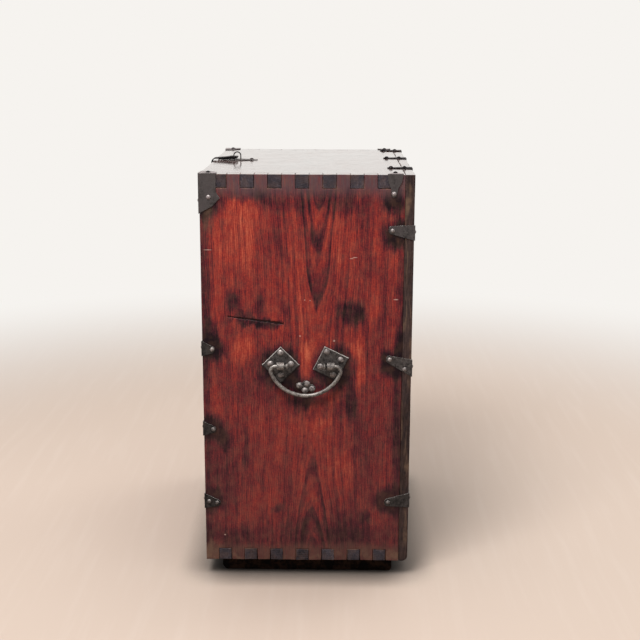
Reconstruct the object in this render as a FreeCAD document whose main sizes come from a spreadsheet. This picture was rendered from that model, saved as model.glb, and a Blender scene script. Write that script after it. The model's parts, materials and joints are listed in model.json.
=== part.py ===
import FreeCAD, Part
import math
import os
from types import SimpleNamespace

import Sketcher

# A Korean drop-front chest. Sizes are in millimetres.
# The floor is z = 0, the front looks toward -Y and the ends face +X and -X.

Vector = FreeCAD.Vector
doc = FreeCAD.newDocument("drop_front_chest")
sheet = doc.addObject("Spreadsheet::Sheet", "dims")

sizes = {
    # boards
    "chest_width": 560,
    "carcass_depth": 382,
    "back_thick": 18,
    "body_height": 767,
    "top_thick": 26,
    "bottom_thick": 24,
    "end_thick": 24,
    "front_thick": 22,
    "finger_count": 15,
    "lower_panel_top": 484,
    "back_round": 11,
    # feet
    "foot_height": 30,
    "foot_width": 40,
    "foot_inset": 20,
    "foot_length": 340,
    "foot_toe_round": 13,
    "foot_heel_ease": 4,
    # door and what it closes on
    "door_gap": 1,
    "stop_width": 16,
    "stop_depth": 18,
    "stop_clearance": 0.5,
    "rail_height": 60,
    "rail_rise": 16,
    # sheet iron
    "iron_thick": 1.6,
    "plate_thick": 2,
    "leaf_thick": 1.6,
    # end handles
    "handle_height": 433,
    "handle_centre": -2,
    "eye_spacing": 96,
    "eye_standoff": 11,
    "eye_radius": 7.8,
    "eye_bore": 4.4,
    "eye_width": 14,
    "eye_strap": 4,
    "eye_clinch": 15,
    "bail_radius": 4,
    "bail_bend": 9.75,
    "bail_sweep": 71.5,
    "bail_reach": 57.2,
    "bail_end": 37,
    "button_radius": 5.8,
    "button_thick": 3,
    "plate_side": 52,
    "rear_plate_rise": 3,
    "strike_length": 39,
    "strike_height": 25,
    "strike_drop": 43,
    # door pulls
    "pull_height": 700,
    "pull_offset": 125,
    "pull_spacing": 50,
    "pull_standoff": 8,
    "pull_eye_radius": 4.6,
    "pull_eye_bore": 2.4,
    "pull_eye_width": 8,
    "pull_wire": 2,
    "pull_bend": 5,
    "pull_sweep": 36,
    "pull_reach": 30,
    "pull_end": 19,
    "pull_rosette": 13,
    # hinges
    "hinge_offset": 150,
    "hinge_stand": 4.2,
    "knuckle_radius": 4,
    "knuckle_bore": 2.2,
    "pin_radius": 1.9,
    "pin_head": 3.4,
    "barrel_length": 44,
    "middle_knuckle": 15.4,
    "knuckle_gap": 0.3,
    "leaf_length": 78,
    "leaf_waist": 26,
    "leaf_tail": 46,
    "leaf_notch": 12,
    # hasp and lock
    "ring_back": 48,
    "ring_height": 9.3,
    "ring_radius": 7.2,
    "ring_wire": 1.5,
    "ring_root": 16,
    "hasp_pivot": 6,
    "hasp_width": 22,
    "hasp_thick": 2.4,
    "hasp_stand": 3.2,
    "hasp_drop": 125,
    "hasp_eye_slot": 4.8,
    "hasp_lock_slot": 6,
    "hasp_slot_low": 685,
    "hasp_slot_high": 720,
    "lock_height": 708,
    "lock_radius": 6,
    "lock_wire": 1.75,
    "lock_reach": 6.5,
    "lock_plate_radius": 48,
    # nails
    "nail_head": 4.8,
    "nail_crown": 3,
    "nail_shank": 1.2,
    "nail_length": 13,
    "stud_head": 6.4,
    "stud_crown": 3.5,
}


class Size:
    """A number that keeps the sheet formula it came from."""

    def __init__(self, value, text):
        self.value = value
        self.text = text

    def __add__(self, other):
        other = as_size(other)
        return Size(self.value + other.value, f"({self.text} + {other.text})")

    def __radd__(self, other):
        return as_size(other) + self

    def __sub__(self, other):
        other = as_size(other)
        return Size(self.value - other.value, f"({self.text} - {other.text})")

    def __rsub__(self, other):
        return as_size(other) - self

    def __mul__(self, other):
        other = as_size(other)
        return Size(self.value * other.value, f"({self.text} * {other.text})")

    def __rmul__(self, other):
        return as_size(other) * self

    def __truediv__(self, other):
        other = as_size(other)
        return Size(self.value / other.value, f"({self.text} / {other.text})")

    def __neg__(self):
        return Size(-self.value, f"(0 - {self.text})")


def as_size(number):
    if isinstance(number, Size):
        return number
    return Size(float(number), f"({number:.8g})")


for row, (alias, amount) in enumerate(sizes.items(), start=1):
    sheet.set(f"A{row}", alias)
    sheet.set(f"B{row}", str(amount))
    sheet.setAlias(f"B{row}", alias)
doc.recompute()
d = SimpleNamespace(**{alias: Size(float(amount), f"dims.{alias}") for alias, amount in sizes.items()})

half_width = d.chest_width / 2
inner_half = half_width - d.end_thick
y_front = (d.carcass_depth + d.back_thick) / -2
y_seam = y_front + d.carcass_depth
y_back = y_seam + d.back_thick
z_low = d.foot_height
z_floor = z_low + d.bottom_thick
z_top = z_low + d.body_height
z_under_top = z_top - d.top_thick
finger = d.carcass_depth / d.finger_count

parts = []


def bind(item, prop, amount):
    item.setExpression(prop, as_size(amount).text)


def keep(item, label):
    """Names a finished piece and lists it for export."""
    item.Label = label
    parts.append(item)
    return item


def new_body(name):
    return doc.addObject("PartDesign::Body", name)


def hold_point(sketch, geometry, end, x, y):
    """Ties one point of a sketch to its two coordinates."""
    for amount, kind, axis in ((x, "DistanceX", -2), (y, "DistanceY", -1)):
        if abs(amount.value) < 1e-9:
            sketch.addConstraint(Sketcher.Constraint("PointOnObject", geometry, end, axis))
            continue
        index = sketch.addConstraint(Sketcher.Constraint(kind, -1, 1, geometry, end, amount.value))
        bind(sketch, f"Constraints[{index}]", amount)


def hold_radius(sketch, geometry, radius):
    index = sketch.addConstraint(Sketcher.Constraint("Radius", geometry, abs(radius.value)))
    bind(sketch, f"Constraints[{index}]", radius)


def arc_between(here, there, radius, anticlockwise):
    """The shorter arc of a radius between two points."""
    chord = there - here
    side = Vector(-chord.y, chord.x, 0)
    side.normalize()
    rise = math.sqrt(max(radius**2 - (chord.Length / 2) ** 2, 0))
    centre = (here + there) * 0.5 + side * (rise if anticlockwise else -rise)
    first, last = (here, there) if anticlockwise else (there, here)
    start = math.atan2(first.y - centre.y, first.x - centre.x)
    stop = math.atan2(last.y - centre.y, last.x - centre.x)
    circle = Part.Circle(centre, Vector(0, 0, 1), radius)
    return Part.ArcOfCircle(circle, start, stop if stop > start else stop + 2 * math.pi)


def draw_loop(sketch, loop):
    """A closed outline. A corner's third value starts an arc of that radius, hollow if it is negative."""
    corners = [(as_size(corner[0]), as_size(corner[1])) for corner in loop]
    spots = [Vector(x.value, y.value, 0) for x, y in corners]
    following = spots[1:] + spots[:1]
    turn = sum(a.x * b.y - b.x * a.y for a, b in zip(spots, following))
    first = sketch.GeometryCount
    ends = []
    for corner, here, there in zip(loop, spots, following):
        if len(corner) == 2:
            sketch.addGeometry(Part.LineSegment(here, there), False)
            ends.append((1, 2))
        else:
            radius = as_size(corner[2]).value
            anticlockwise = (turn > 0) == (radius > 0)
            sketch.addGeometry(arc_between(here, there, abs(radius), anticlockwise), False)
            ends.append((1, 2) if anticlockwise else (2, 1))
    count = len(loop)
    for number in range(count):
        after = (number + 1) % count
        finish = ends[number][1]
        begin = ends[after][0]
        joined = Sketcher.Constraint("Coincident", first + number, finish, first + after, begin)
        sketch.addConstraint(joined)
    for number, (x, y) in enumerate(corners):
        hold_point(sketch, first + number, ends[number][0], x, y)
    for number, corner in enumerate(loop):
        if len(corner) == 3:
            radius = as_size(corner[2])
            hold_radius(sketch, first + number, radius if radius.value > 0 else -radius)


def draw_circle(sketch, x, y, radius):
    x, y, radius = as_size(x), as_size(y), as_size(radius)
    number = sketch.GeometryCount
    sketch.addGeometry(Part.Circle(Vector(x.value, y.value, 0), Vector(0, 0, 1), radius.value), False)
    hold_radius(sketch, number, radius)
    hold_point(sketch, number, 3, x, y)


def new_sketch(body, plane, level, loops=(), circles=()):
    """A sketch on one of the body's own planes, moved along its axis to a level."""
    sketch = body.newObject("Sketcher::SketchObject", "sketch")
    support = next(item for item in body.Origin.OriginFeatures if item.Role == plane)
    sketch.AttachmentSupport = [(support, "")]
    sketch.MapMode = "FlatFace"
    bind(sketch, "AttachmentOffset.Base.z", -as_size(level) if plane == "XZ_Plane" else level)
    for loop in loops:
        draw_loop(sketch, loop)
    for x, y, radius in circles:
        draw_circle(sketch, x, y, radius)
    return sketch


def pad(body, sketch, length, midplane=False):
    """Thickens a sketch along its plane's own direction: +X, +Z, or -Y for the XZ plane."""
    feature = body.newObject("PartDesign::Pad", "pad")
    feature.Profile = sketch
    bind(feature, "Length", length)
    if midplane:
        feature.SideType = "Symmetric"
    body.Tip = feature
    doc.recompute()
    return feature


def pocket(body, sketch, length, midplane=False):
    """Cuts a sketch against its plane's own direction, or both ways."""
    feature = body.newObject("PartDesign::Pocket", "pocket")
    feature.Profile = sketch
    bind(feature, "Length", length)
    if midplane:
        feature.SideType = "Symmetric"
    body.Tip = feature
    doc.recompute()
    return feature


def repeat(body, cut, direction, length, count):
    """Repeats a cut along one of the axes of its sketch."""
    pattern = body.newObject("PartDesign::LinearPattern", "pattern")
    pattern.Originals = [cut]
    pattern.Direction = (cut.Profile[0], [direction])
    bind(pattern, "Length", length)
    bind(pattern, "Occurrences", count)
    body.Tip = pattern
    doc.recompute()


def rectangle(x0, y0, x1, y1):
    return [(x0, y0), (x1, y0), (x1, y1), (x0, y1)]


def board(label, x0, x1, y0, y1, z0, z1):
    """A plain squared board between two corners."""
    item = doc.addObject("Part::Box", label)
    for prop, low, high in (("Length", x0, x1), ("Width", y0, y1), ("Height", z0, z1)):
        bind(item, prop, high - as_size(low))
    for axis, low in (("x", x0), ("y", y0), ("z", z0)):
        bind(item, f"Placement.Base.{axis}", low)
    return keep(item, label)


# How a piece drawn flat in its own XY plane is turned to lie on each face.
facing = {
    "right": FreeCAD.Rotation(Vector(0, 1, 0), Vector(0, 0, 1), Vector(1, 0, 0)),
    "left": FreeCAD.Rotation(Vector(0, -1, 0), Vector(0, 0, 1), Vector(-1, 0, 0)),
    "front": FreeCAD.Rotation(Vector(1, 0, 0), Vector(0, 0, 1), Vector(0, -1, 0)),
    "back": FreeCAD.Rotation(Vector(-1, 0, 0), Vector(0, 0, 1), Vector(0, 1, 0)),
    "top": FreeCAD.Rotation(),
}


def place(item, face, x, y, z, turn=0):
    """Sets a piece on a face, turned within the face by a few degrees if it sits askew."""
    spin = FreeCAD.Rotation(Vector(0, 0, 1), turn)
    item.Placement = FreeCAD.Placement(Vector(), facing[face].multiply(spin))
    for axis, amount in (("x", x), ("y", y), ("z", z)):
        bind(item, f"Placement.Base.{axis}", amount)


# Boards of the carcass.


def end_panel(label, outer):
    """An end board with notches top and bottom for the fingers of the boards it meets."""
    body = new_body(label)
    sketch = new_sketch(body, "YZ_Plane", outer - d.end_thick, [rectangle(y_front, z_low, y_seam, z_top)])
    pad(body, sketch, d.end_thick)
    for low, high in ((z_under_top, z_top + 1), (z_low - 1, z_floor)):
        notch = rectangle(y_front + finger, low, y_front + finger * 2, high)
        cut = pocket(body, new_sketch(body, "YZ_Plane", outer, [notch]), d.end_thick)
        repeat(body, cut, "H_Axis", finger * (d.finger_count - 3), (d.finger_count - 1) / 2)
    keep(body, label)


def cross_board(label, low, thick):
    """The top or bottom board, notched at both ends for the fingers of the end panels."""
    body = new_body(label)
    sketch = new_sketch(body, "XY_Plane", low, [rectangle(-half_width, y_front, half_width, y_seam)])
    pad(body, sketch, thick)
    notches = [
        rectangle(inner_half, y_front, half_width + 1, y_front + finger),
        rectangle(-half_width - 1, y_front, -inner_half, y_front + finger),
    ]
    cut = pocket(body, new_sketch(body, "XY_Plane", low + thick, notches), thick)
    repeat(body, cut, "V_Axis", finger * (d.finger_count - 1), (d.finger_count + 1) / 2)
    keep(body, label)


end_panel("right_end_panel", half_width)
end_panel("left_end_panel", -inner_half)
cross_board("top_board", z_under_top, d.top_thick)
cross_board("bottom_board", z_low, d.bottom_thick)

back_board_width = d.chest_width / 3
for number, name in enumerate(("left", "middle", "right")):
    body = new_body(f"{name}_back_board")
    worn_edge = [
        (y_seam, z_low),
        (y_back - d.back_round, z_low, d.back_round),
        (y_back, z_low + d.back_round),
        (y_back, z_top),
        (y_seam, z_top),
    ]
    start = back_board_width * number - half_width
    pad(body, new_sketch(body, "YZ_Plane", start, [worn_edge]), back_board_width)
    keep(body, f"{name}_back_board")

front_inside = y_front + d.front_thick
board("lower_front_panel", -inner_half, inner_half, y_front, front_inside, z_floor, d.lower_panel_top)
door_low = d.lower_panel_top + d.door_gap
door_high = z_under_top - d.door_gap
door_half = inner_half - d.door_gap
door_inside = front_inside - d.stop_clearance
board("door_panel", -door_half, door_half, y_front, door_inside, door_low, door_high)

rail_top = d.lower_panel_top + d.rail_rise
stop_back = front_inside + d.stop_depth
rail_under = rail_top - d.rail_height
board("door_rest_rail", -inner_half, inner_half, front_inside, stop_back, rail_under, rail_top)
stop_inner = inner_half - d.stop_width
board("right_door_stop", stop_inner, inner_half, front_inside, stop_back, rail_top, z_under_top)
board("left_door_stop", -inner_half, -stop_inner, front_inside, stop_back, rail_top, z_under_top)

foot_half = d.foot_length / 2
for name, start in (
    ("right", half_width - d.foot_inset - d.foot_width),
    ("left", d.foot_inset - half_width),
):
    body = new_body(f"{name}_foot_runner")
    runner = [
        (d.foot_toe_round - foot_half, 0),
        (foot_half - d.foot_heel_ease, 0),
        (foot_half, d.foot_heel_ease),
        (foot_half, z_low),
        (-foot_half, z_low),
        (-foot_half, d.foot_toe_round, d.foot_toe_round),
    ]
    pad(body, new_sketch(body, "YZ_Plane", start, [runner]), d.foot_width)
    keep(body, f"{name}_foot_runner")


# Bail handles: square plates, strap eyes clinched inside, a bail and a strike plate.


def strap_eye(label, radius, bore, width, inside):
    """A strip bent round a bore, both legs driven through the board and spread on its inside."""
    body = new_body(label)
    leg = d.eye_strap / 2
    neck = math.sqrt(radius.value**2 - leg.value**2)
    outline = [
        (leg, -neck, radius),
        (0, radius, radius),
        (-leg, -neck),
        (-leg, -inside),
        (-d.eye_clinch, -inside),
        (-d.eye_clinch, -inside - d.iron_thick),
        (d.eye_clinch, -inside - d.iron_thick),
        (d.eye_clinch, -inside),
        (leg, -inside),
    ]
    pad(body, new_sketch(body, "YZ_Plane", 0, [outline], [(0, 0, bore)]), width, midplane=True)
    return body


def bail(label, wire, bend, sweep, reach, end, button, button_thick):
    """A bent rod whose ends turn in through the eyes and are headed. It hangs in its own XY plane."""
    body = new_body(label)
    path = new_sketch(body, "XY_Plane", 0)
    rise = math.sqrt((sweep.value - bend.value) ** 2 - reach.value**2) - bend.value
    out, turn, far = reach.value, bend.value, sweep.value
    lean = math.atan2(-turn - rise, -out)
    upright = Vector(0, 0, 1)
    small_left = Part.Circle(Vector(-out, -turn, 0), upright, turn)
    small_right = Part.Circle(Vector(out, -turn, 0), upright, turn)
    large = Part.Circle(Vector(0, rise, 0), upright, far)
    path.addGeometry(Part.LineSegment(Vector(-end.value, 0, 0), Vector(-out, 0, 0)), False)
    path.addGeometry(Part.ArcOfCircle(small_left, math.pi / 2, 2 * math.pi + lean), False)
    path.addGeometry(Part.ArcOfCircle(large, lean, -math.pi - lean), False)
    path.addGeometry(Part.ArcOfCircle(small_right, -math.pi - lean, math.pi / 2), False)
    path.addGeometry(Part.LineSegment(Vector(out, 0, 0), Vector(end.value, 0, 0)), False)
    hold_point(path, 0, 1, -end, as_size(0))
    hold_point(path, 0, 2, -reach, as_size(0))
    hold_point(path, 4, 1, reach, as_size(0))
    hold_point(path, 4, 2, end, as_size(0))
    for number, finish, begin in ((0, 2, 1), (1, 2, 1), (2, 2, 1), (3, 2, 1)):
        path.addConstraint(Sketcher.Constraint("Tangent", number, finish, number + 1, begin))
    hold_radius(path, 1, bend)
    hold_radius(path, 2, sweep)
    hold_radius(path, 3, bend)
    section = new_sketch(body, "YZ_Plane", -end, circles=[(0, 0, wire)])
    doc.recompute()
    pipe = body.newObject("PartDesign::AdditivePipe", "pipe")
    pipe.Profile = section
    pipe.Spine = (path, [f"Edge{number}" for number in range(1, 6)])
    body.Tip = pipe
    doc.recompute()
    for start in (-end, end - button_thick):
        pad(body, new_sketch(body, "YZ_Plane", start, circles=[(0, 0, button)]), button_thick)
    return body


def square_plate(label):
    """A square of plate with its outer edges hammered to a bevel."""
    body = new_body(label)
    half = d.plate_side / 2
    base = pad(body, new_sketch(body, "XY_Plane", 0, [rectangle(-half, -half, half, half)]), d.plate_thick)
    outer = max(range(len(base.Shape.Faces)), key=lambda number: base.Shape.Faces[number].CenterOfMass.z)
    bevel = body.newObject("PartDesign::Chamfer", "bevel")
    bevel.Base = (base, [f"Face{outer + 1}"])
    bind(bevel, "Size", d.plate_thick / 2)
    body.Tip = bevel
    doc.recompute()
    return body


def strike_plate(label):
    """A four-lobed plate, longer than it is high."""
    body = new_body(label)
    long_half = d.strike_length / 2
    high_half = d.strike_height / 2
    notch_x = long_half * 0.41
    notch_y = high_half * 0.48
    lobes = []
    corners = ((1, -1, 1, 0), (1, 1, 0, 1), (-1, 1, -1, 0), (-1, -1, 0, -1))
    for side_x, side_y, tip_x, tip_y in corners:
        radius = long_half * 0.42 if tip_x else high_half * 0.62
        lobes.append((notch_x * side_x, notch_y * side_y, radius))
        lobes.append((long_half * tip_x, high_half * tip_y, radius))
    pad(body, new_sketch(body, "XY_Plane", 0, [lobes]), d.plate_thick)
    return body


handle_axis = half_width + d.eye_standoff
eye_inside = d.eye_standoff + d.end_thick
strike_height = d.handle_height - d.strike_drop
for name, side in (("right", 1), ("left", -1)):
    for end, sign, turn, rise in (("front", -1, 45, 0), ("rear", 1, 64, d.rear_plate_rise)):
        y = d.handle_centre + d.eye_spacing / 2 * sign
        plate = square_plate(f"{name}_{end}_handle_plate")
        place(plate, name, half_width * side, y, d.handle_height + rise, turn * side)
        keep(plate, f"{name}_{end}_handle_plate")
        eye = strap_eye(f"{name}_{end}_handle_eye", d.eye_radius, d.eye_bore, d.eye_width, eye_inside)
        place(eye, name, handle_axis * side, y, d.handle_height)
        keep(eye, f"{name}_{end}_handle_eye")
    strike = strike_plate(f"{name}_strike_plate")
    place(strike, name, half_width * side, d.handle_centre, strike_height, -12 * side)
    keep(strike, f"{name}_strike_plate")
    loop = bail(
        f"{name}_bail",
        d.bail_radius,
        d.bail_bend,
        d.bail_sweep,
        d.bail_reach,
        d.bail_end,
        d.button_radius,
        d.button_thick,
    )
    place(loop, name, handle_axis * side, d.handle_centre, d.handle_height)
    keep(loop, f"{name}_bail")


# Small drop pulls on the door.

pull_inside = d.pull_standoff + d.front_thick - d.stop_clearance
for name, side in (("right", 1), ("left", -1)):
    eyes = []
    rosettes = []
    for number, sign in enumerate((-1, 1)):
        x = d.pull_offset * side + d.pull_spacing / 2 * sign
        eye = strap_eye(
            f"{name}_pull_eye_{number}",
            d.pull_eye_radius,
            d.pull_eye_bore,
            d.pull_eye_width,
            pull_inside,
        )
        place(eye, "front", x, y_front - d.pull_standoff, d.pull_height)
        eyes.append(eye)
        disc = new_body(f"{name}_pull_rosette_{number}")
        pad(disc, new_sketch(disc, "XY_Plane", 0, circles=[(0, 0, d.pull_rosette)]), d.iron_thick)
        place(disc, "front", x, y_front, d.pull_height)
        rosettes.append(disc)
    for label, members in ((f"{name}_pull_eyes", eyes), (f"{name}_pull_rosettes", rosettes)):
        group = doc.addObject("Part::Compound", label)
        group.Links = members
        keep(group, label)
    loop = bail(
        f"{name}_pull_bail",
        d.pull_wire,
        d.pull_bend,
        d.pull_sweep,
        d.pull_reach,
        d.pull_end,
        d.pull_wire * 1.6,
        d.pull_wire,
    )
    place(loop, "front", d.pull_offset * side, y_front - d.pull_standoff, d.pull_height)
    keep(loop, f"{name}_pull_bail")


# Hinges: swallow-tailed leaves on door and lower panel, three knuckles and a headed pin.

hinge_y = y_front - d.hinge_stand
hinge_z = d.lower_panel_top + d.door_gap / 2


def hinge_leaf(label, centre, up, knuckles):
    """A leaf whose tabs reach the hinge line at its own knuckles and keep clear of the other leaf's."""
    body = new_body(label)
    clear = (d.knuckle_radius + 0.8) * up
    half = d.barrel_length / 2
    tail = d.leaf_length * up
    outline = [(half, clear)]
    outline += [(d.leaf_waist / 2, tail * 0.5), (d.leaf_tail / 2, tail)]
    outline += [(0, tail - d.leaf_notch * up)]
    outline += [(-d.leaf_tail / 2, tail), (-d.leaf_waist / 2, tail * 0.5), (-half, clear)]
    for start, stop in knuckles:
        outline += [(start, clear), (start, 0), (stop, 0), (stop, clear)]
    corners = [corner for number, corner in enumerate(outline) if not same_spot(corner, outline[number - 1])]
    shifted = [(centre + x, hinge_z + z) for x, z in corners]
    pad(body, new_sketch(body, "XZ_Plane", y_front, [shifted]), d.iron_thick)
    for start, stop in knuckles:
        rings = [(hinge_y, hinge_z, d.knuckle_radius), (hinge_y, hinge_z, d.knuckle_bore)]
        pad(body, new_sketch(body, "YZ_Plane", centre + start, circles=rings), stop - as_size(start))
    keep(body, label)


def same_spot(corner, other):
    """True where two corners fall on one another."""
    return all(abs(as_size(a).value - as_size(b).value) < 1e-6 for a, b in zip(corner, other))


half_barrel = d.barrel_length / 2
half_middle = d.middle_knuckle / 2
side_knuckle = half_middle + d.knuckle_gap
for name, side in (("right", 1), ("left", -1)):
    centre = d.hinge_offset * side
    hinge_leaf(f"{name}_hinge_door_leaf", centre, 1, [(-half_middle, half_middle)])
    outer_pair = [(-half_barrel, -side_knuckle), (side_knuckle, half_barrel)]
    hinge_leaf(f"{name}_hinge_panel_leaf", centre, -1, outer_pair)
    body = new_body(f"{name}_hinge_pin")
    rod = new_sketch(body, "YZ_Plane", centre - half_barrel, circles=[(hinge_y, hinge_z, d.pin_radius)])
    pad(body, rod, d.barrel_length)
    for start in (centre - half_barrel - d.iron_thick, centre + half_barrel):
        head = new_sketch(body, "YZ_Plane", start, circles=[(hinge_y, hinge_z, d.pin_head)])
        pad(body, head, d.iron_thick)
    keep(body, f"{name}_hinge_pin")


# Ring staple, hasp and lock.


def staple(label, radius, wire, reach, root):
    """A bent rod standing on the XY plane in its own XZ plane, with legs driven below it."""
    body = new_body(label)
    path = new_sketch(body, "XZ_Plane", 0)
    ring = Part.Circle(Vector(0, reach.value, 0), Vector(0, 0, 1), radius.value)
    side, top, foot = radius.value, reach.value, -root.value
    path.addGeometry(Part.LineSegment(Vector(side, foot, 0), Vector(side, top, 0)))
    path.addGeometry(Part.ArcOfCircle(ring, 0, math.pi))
    path.addGeometry(Part.LineSegment(Vector(-side, top, 0), Vector(-side, foot, 0)))
    hold_point(path, 0, 1, radius, -root)
    hold_point(path, 0, 2, radius, reach)
    hold_point(path, 2, 1, -radius, reach)
    hold_point(path, 2, 2, -radius, -root)
    path.addConstraint(Sketcher.Constraint("Tangent", 0, 2, 1, 1))
    path.addConstraint(Sketcher.Constraint("Coincident", 1, 2, 2, 1))
    section = new_sketch(body, "XY_Plane", -root, circles=[(radius, 0, wire)])
    doc.recompute()
    pipe = body.newObject("PartDesign::AdditivePipe", "pipe")
    pipe.Profile = section
    pipe.Spine = (path, ["Edge1", "Edge2", "Edge3"])
    body.Tip = pipe
    doc.recompute()
    return body


ring_y = y_front + d.ring_back
ring_staple = staple("hasp_ring_staple", d.ring_radius, d.ring_wire, d.ring_height, d.ring_root)
across = FreeCAD.Rotation(Vector(0, 0, 1), 90)
ring_staple.Placement = FreeCAD.Placement(Vector(), across)
bind(ring_staple, "Placement.Base.y", ring_y)
bind(ring_staple, "Placement.Base.z", z_top)
keep(ring_staple, "hasp_ring_staple")

lock_staple = staple("lock_staple", d.lock_radius, d.lock_wire, d.lock_reach, d.ring_root)
outward = FreeCAD.Rotation(Vector(0, 0, 1), Vector(1, 0, 0), Vector(0, -1, 0), "ZXY")
lock_staple.Placement = FreeCAD.Placement(Vector(), outward)
bind(lock_staple, "Placement.Base.y", y_front)
bind(lock_staple, "Placement.Base.z", d.lock_height)
keep(lock_staple, "lock_staple")

body = new_body("hasp_backplate")
leaf = [
    (-10, ring_y - 40),
    (10, ring_y - 40),
    (17, ring_y - 10),
    (14, ring_y + 13),
    (3, ring_y + 41, 3.2),
    (-3, ring_y + 41),
    (-14, ring_y + 13),
    (-17, ring_y - 10),
]
pad(body, new_sketch(body, "XY_Plane", z_top, [leaf]), d.leaf_thick)
keep(body, "hasp_backplate")

body = new_body("lock_plate")
disc = new_sketch(body, "XZ_Plane", y_front, circles=[(0, d.lock_height, d.lock_plate_radius)])
pad(body, disc, d.iron_thick)
keep(body, "lock_plate")

body = new_body("hasp")
pivot_z = z_top + d.hasp_pivot
eye_bar = 2
outer_y = y_front - d.hasp_stand - d.hasp_thick
inner_y = y_front - d.hasp_stand
side_view = [
    (ring_y, pivot_z - eye_bar, eye_bar * 1.02),
    (ring_y, pivot_z + eye_bar),
    (ring_y - 13, pivot_z + 2.4),
    (ring_y - 25, pivot_z + 0.6),
    (outer_y + 9, pivot_z - 0.8, 9.5),
    (outer_y, pivot_z - 10),
    (outer_y, z_top - d.hasp_drop),
    (inner_y, z_top - d.hasp_drop),
    (inner_y, pivot_z - 10, -7),
    (inner_y + 6.6, pivot_z - 3.2),
    (ring_y - 14, pivot_z - 3.1),
]
pad(body, new_sketch(body, "YZ_Plane", 0, [side_view]), d.hasp_width, midplane=True)
eye_slot = rectangle(-d.hasp_eye_slot / 2, ring_y - 13.2, d.hasp_eye_slot / 2, ring_y - eye_bar)
pocket(body, new_sketch(body, "XY_Plane", pivot_z + 5, [eye_slot]), 10)
slot_half = d.hasp_lock_slot / 2
lock_slot = rectangle(-slot_half, d.hasp_slot_low, slot_half, d.hasp_slot_high)
pocket(body, new_sketch(body, "XZ_Plane", outer_y - 5, [lock_slot]), 15)
hasp_half = d.hasp_width / 2
hasp_foot = z_top - d.hasp_drop
for side in (1, -1):
    corner = [
        ((hasp_half + 1) * side, hasp_foot - 1),
        ((hasp_half + 1) * side, hasp_foot + 9),
        (hasp_half * side, hasp_foot + 9),
        (3.5 * side, hasp_foot),
        (3.5 * side, hasp_foot - 1),
    ]
    pocket(body, new_sketch(body, "XZ_Plane", outer_y - 5, [corner]), 15)
keep(body, "hasp")


# Sheet-iron straps and corner irons, each bent round an edge of the chest.

iron_faces = {
    "right": ("YZ_Plane", half_width),
    "left": ("YZ_Plane", -half_width - d.iron_thick),
    "front": ("XZ_Plane", y_front),
    "back": ("XZ_Plane", y_back + d.iron_thick),
    "top": ("XY_Plane", z_top),
}


def iron_leg(body, face, outline):
    """One flat leg of a strap on a face of the chest."""
    plane, level = iron_faces[face]
    pad(body, new_sketch(body, plane, level, [outline]), d.iron_thick)


def strap_outline(edge, inward, across, length, width, tip_width, skew, along_first, lap=0):
    """A leg that tapers from the chest's edge to a rounded tip."""
    tip = edge + (length - tip_width / 2) * inward
    start = edge - lap * inward
    corners = [
        (start, across - width / 2),
        (tip, across + skew - tip_width / 2, tip_width * 0.56),
        (tip, across + skew + tip_width / 2),
        (start, across + width / 2),
    ]
    if along_first:
        return corners
    return [(corner[1], corner[0]) + tuple(corner[2:]) for corner in corners]


def strap_group(label, bodies):
    group = doc.addObject("Part::Compound", label)
    group.Links = bodies
    keep(group, label)


thick = d.iron_thick
front_straps = ((464, 30, -2, 27), (304.4, 30, -2, 27), (154.8, 31, -4, 33))
rear_straps = ((689, 29, 5, 51), (428, 34, 17.5, 52), (159.5, 30, -5, 51))
for name, side in (("right", 1), ("left", -1)):
    bodies = []
    for number, (height, width, skew, length) in enumerate(front_straps):
        body = new_body(f"{name}_front_strap_{number}")
        iron_leg(body, name, strap_outline(y_front, 1, height, length, width, 13, skew, True, thick))
        iron_leg(body, "front", strap_outline(half_width * side, -side, height, 58, width, 12, 0, True))
        bodies.append(body)
    strap_group(f"{name}_front_straps", bodies)
    bodies = []
    for number, (height, width, skew, length) in enumerate(rear_straps):
        body = new_body(f"{name}_rear_strap_{number}")
        iron_leg(body, name, strap_outline(y_back, -1, height, length, width, 15, skew, True, thick))
        iron_leg(body, "back", strap_outline(half_width * side, -side, height, 56, width, 13, 0, True))
        bodies.append(body)
    strap_group(f"{name}_rear_straps", bodies)

    body = new_body(f"{name}_front_corner_iron")
    end_leg = [
        (y_front - thick, z_top + thick),
        (y_front + 32, z_top + thick),
        (y_front + 31, z_top - 32),
        (y_front + 38, z_top - 45),
        (y_front + 24, z_top - 60),
        (y_front - thick, z_top - 74),
    ]
    iron_leg(body, name, end_leg)
    front_leg = [
        (half_width * side, z_top + thick),
        (half_width * side, z_top - 74),
        ((half_width - 12) * side, z_top - 66),
        ((half_width - 22) * side, z_top - 46),
        ((half_width - 22) * side, z_top + thick),
    ]
    iron_leg(body, "front", front_leg)
    top_leg = [
        (half_width * side, y_front),
        (half_width * side, y_front + 32),
        ((half_width - 20) * side, y_front + 32),
        ((half_width - 36) * side, y_front + 18),
        ((half_width - 40) * side, y_front),
    ]
    iron_leg(body, "top", top_leg)
    keep(body, f"{name}_front_corner_iron")

    body = new_body(f"{name}_rear_corner_strap")
    strap_y = y_front + 363.5
    end_leg = [
        (strap_y - 15, z_top + thick),
        (strap_y + 15, z_top + thick),
        (strap_y + 12, z_top - 14),
        (strap_y + 5, z_top - 26),
        (strap_y + 2.5, z_top - 39, 5.6),
        (strap_y - 7.5, z_top - 39),
        (strap_y - 8, z_top - 26),
        (strap_y - 13.5, z_top - 14),
    ]
    iron_leg(body, name, end_leg)
    iron_leg(body, "top", strap_outline(half_width * side, -side, strap_y, 27, 30, 13, 0, True))
    keep(body, f"{name}_rear_corner_strap")

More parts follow.
